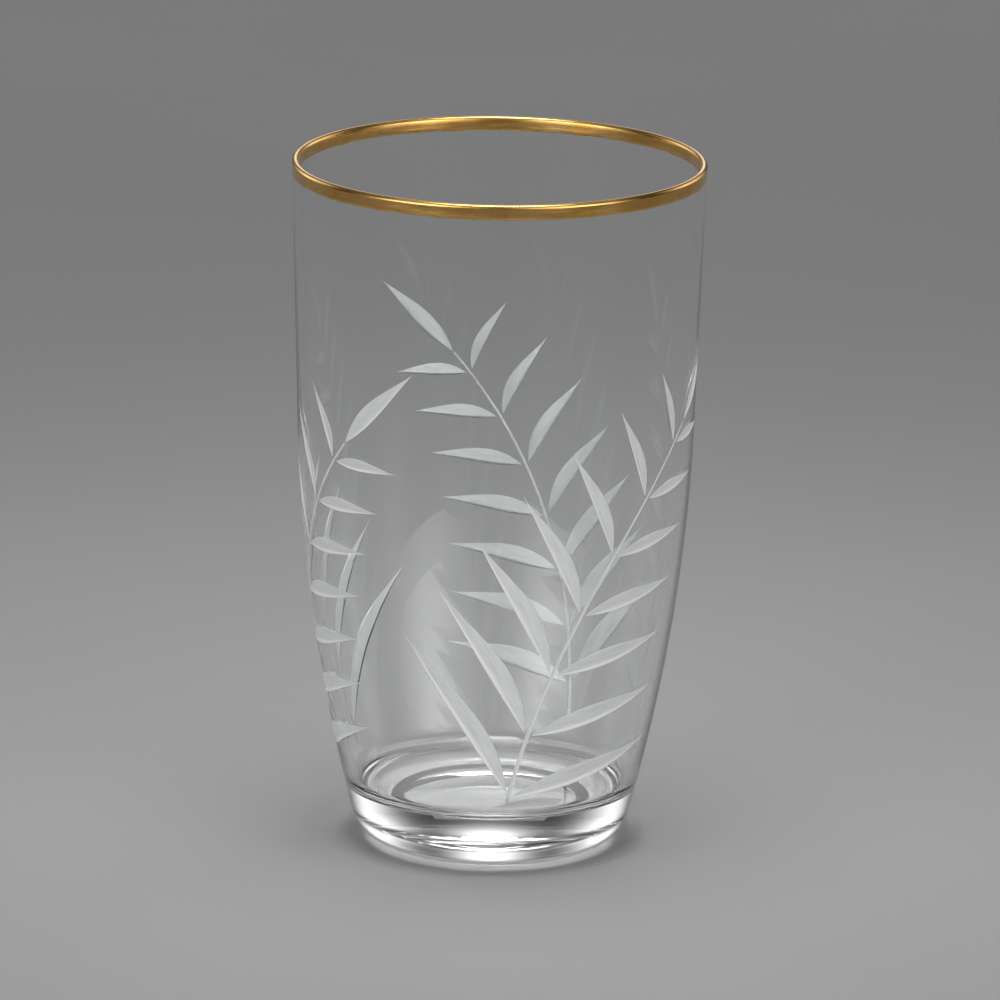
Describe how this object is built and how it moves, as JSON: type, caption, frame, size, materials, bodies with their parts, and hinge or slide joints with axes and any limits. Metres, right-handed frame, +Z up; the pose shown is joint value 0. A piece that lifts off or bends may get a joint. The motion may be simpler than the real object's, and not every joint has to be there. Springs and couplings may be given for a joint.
{
  "type": "whiskey tumbler",
  "caption": "Tall tapering clear glass tumbler with a thick base, a gold rim band and wheel-cut matt fern sprays around the wall.",
  "frame": {"origin": "centre of the resting ring, on the surface that the tumbler stands on", "axes": "+Z up the tumbler's axis to the rim; -Y is the front, which faces the viewer; +X is to the viewer's right"},
  "size_m": [0.072, 0.072, 0.122],
  "materials": {
    "clear_glass": "polished clear glass",
    "gold": "burnished fired-on gold",
    "ground_glass": "matt wheel-ground glass"
  },
  "bodies": {
    "root": {"glass_body": "clear_glass", "gold_rim_band": "gold", "cut_spray_front": "ground_glass", "cut_spray_back": "ground_glass", "cut_spray_left": "ground_glass"}
  },
  "joints": []
}
